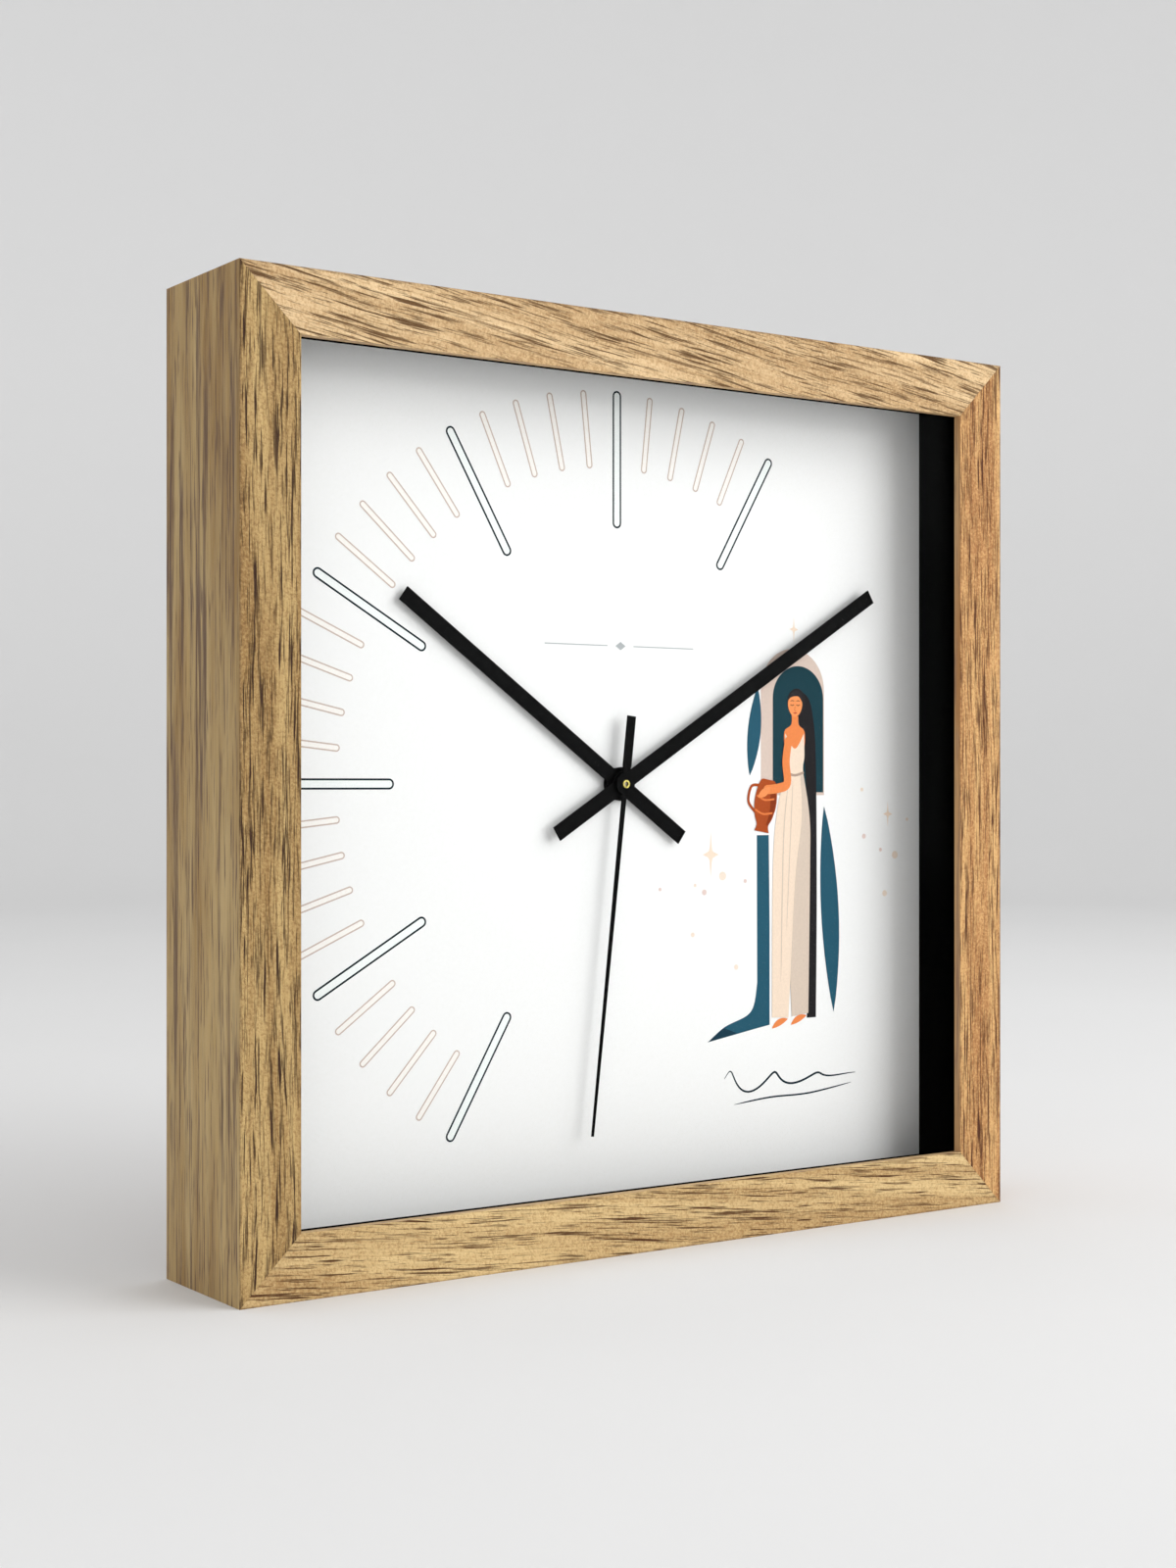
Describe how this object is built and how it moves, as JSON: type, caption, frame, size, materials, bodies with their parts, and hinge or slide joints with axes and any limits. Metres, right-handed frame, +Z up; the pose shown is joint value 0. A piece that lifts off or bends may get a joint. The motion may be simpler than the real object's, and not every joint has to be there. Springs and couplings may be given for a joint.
{
  "type": "wall clock",
  "caption": "Square wooden wall clock with a deep mitred frame, black lining, printed dial, three straight hands and a battery quartz movement behind.",
  "frame": {"origin": "under the middle of the frame's bottom rail, halfway between its front and its back", "axes": "+Z up, -Y is the way the dial faces, +X to the right as seen from the front"},
  "size_m": [0.305, 0.051, 0.305],
  "materials": {
    "oak_frame": "oiled oak, satin, open grain",
    "clear_pane": "clear acrylic, polished",
    "liner_black": "matte black board strip",
    "dial_paper": "smooth matte print paper",
    "marker_ink_dark": "dark teal printing ink, matte",
    "marker_ink_pale": "pale pinkish beige printing ink, matte",
    "picture_ink": "flat printed colours of the dial picture, matte",
    "dial_board": "raw MDF, fine fibre",
    "zinc_steel": "zinc plated, dull",
    "brass": "turned brass, satin",
    "black_brass": "chemically blackened brass, satin",
    "screw_brass": "yellow zinc plated",
    "washer_rubber": "matte black rubber",
    "case_plastic": "black ABS, fine spark texture",
    "knob_plastic": "black ABS, ribbed",
    "gear_plastic": "ivory acetal",
    "arbor_steel": "turned steel",
    "circuit_board": "green solder mask",
    "chip_epoxy": "black epoxy drop",
    "coil_copper": "enamelled copper wire",
    "bobbin_nylon": "natural nylon",
    "stator_iron": "silicon steel sheet",
    "magnet": "sintered ferrite, dark grey",
    "contact_steel": "nickel plated spring strip",
    "battery_jacket": "plain pale grey film jacket, nothing printed on it",
    "hand_black": "black paint on thin aluminium, satin"
  },
  "bodies": {
    "root": {"rail_top": "oak_frame", "rail_bottom": "oak_frame", "stile_left": "oak_frame", "stile_right": "oak_frame", "corner_v_nails": "zinc_steel", "front_pane": "clear_pane", "liner_top": "liner_black", "liner_bottom": "liner_black", "liner_left": "liner_black", "liner_right": "liner_black", "dial_sheet": "dial_paper", "dial_board": "dial_board", "framer_points": "zinc_steel", "hanger_plate": "zinc_steel", "hanger_screws": "screw_brass", "rubber_washer": "washer_rubber", "nut_washer": "black_brass", "hex_nut": "black_brass", "threaded_bush": "brass", "movement_case": "case_plastic", "movement_cover": "case_plastic", "bridge_plate": "case_plastic", "circuit_board": "circuit_board", "driver_chip": "chip_epoxy", "quartz_crystal": "contact_steel", "coil_bobbin": "bobbin_nylon", "coil_winding": "coil_copper", "stator": "stator_iron", "contact_plus": "contact_steel", "contact_minus": "contact_steel"},
    "battery": {"battery": "battery_jacket"},
    "rotor": {"rotor": "gear_plastic", "rotor_magnet": "magnet"},
    "intermediate_wheel": {"intermediate_wheel": "gear_plastic"},
    "second_hand": {"second_wheel": "gear_plastic", "second_hand": "hand_black", "second_hand_tube": "brass"},
    "third_wheel": {"third_wheel": "gear_plastic"},
    "centre_wheel": {"centre_wheel": "gear_plastic"},
    "minute_hand": {"minute_arbor": "arbor_steel", "clutch_spring": "brass", "minute_hand": "hand_black"},
    "motion_wheel": {"motion_wheel": "gear_plastic"},
    "hour_hand": {"hour_wheel": "gear_plastic", "hour_hand": "hand_black"},
    "setting_knob": {"setting_stem": "gear_plastic", "setting_knob": "knob_plastic"}
  },
  "joints": [
    {"name": "minute_turn", "type": "hinge", "parent": "root", "child": "minute_hand", "pos_m": [0, -0.0027, 0.1525], "axis": [0, 1, 0], "continuous": true},
    {"name": "hour_turn", "type": "hinge", "parent": "root", "child": "hour_hand", "pos_m": [0, -0.0013, 0.1525], "axis": [0, 1, 0], "continuous": true},
    {"name": "motion_turn", "type": "hinge", "parent": "root", "child": "motion_wheel", "pos_m": [-0.00831, 0.0085, 0.1573], "axis": [0, 1, 0], "continuous": true},
    {"name": "knob_turn", "type": "hinge", "parent": "root", "child": "setting_knob", "pos_m": [-0.00351, 0.0214, 0.16561], "axis": [0, 1, 0], "continuous": true},
    {"name": "second_turn", "type": "hinge", "parent": "root", "child": "second_hand", "pos_m": [0, -0.0039, 0.1525], "axis": [0, 1, 0], "continuous": true},
    {"name": "third_turn", "type": "hinge", "parent": "root", "child": "third_wheel", "pos_m": [0.00863, 0.0123, 0.15564], "axis": [0, 1, 0], "continuous": true},
    {"name": "centre_turn", "type": "hinge", "parent": "root", "child": "centre_wheel", "pos_m": [0, 0.0108, 0.1525], "axis": [0, 1, 0], "continuous": true},
    {"name": "intermediate_turn", "type": "hinge", "parent": "root", "child": "intermediate_wheel", "pos_m": [0.00246, 0.0151, 0.15927], "axis": [0, 1, 0], "continuous": true},
    {"name": "rotor_turn", "type": "hinge", "parent": "root", "child": "rotor", "pos_m": [0.00825, 0.0161, 0.16137], "axis": [0, 1, 0], "continuous": true},
    {"name": "battery_slide", "type": "slide", "parent": "root", "child": "battery", "axis": [0, 1, 0], "range_m": [0, 0.03]}
  ],
  "couplings": [
    {"joint": "hour_turn", "follows": "minute_turn", "ratio": 0.083333},
    {"joint": "motion_turn", "follows": "minute_turn", "ratio": -0.33333},
    {"joint": "knob_turn", "follows": "minute_turn", "ratio": 1},
    {"joint": "third_turn", "follows": "second_turn", "ratio": -0.13333},
    {"joint": "centre_turn", "follows": "second_turn", "ratio": 0.016667},
    {"joint": "intermediate_turn", "follows": "second_turn", "ratio": -5},
    {"joint": "rotor_turn", "follows": "second_turn", "ratio": 30}
  ]
}
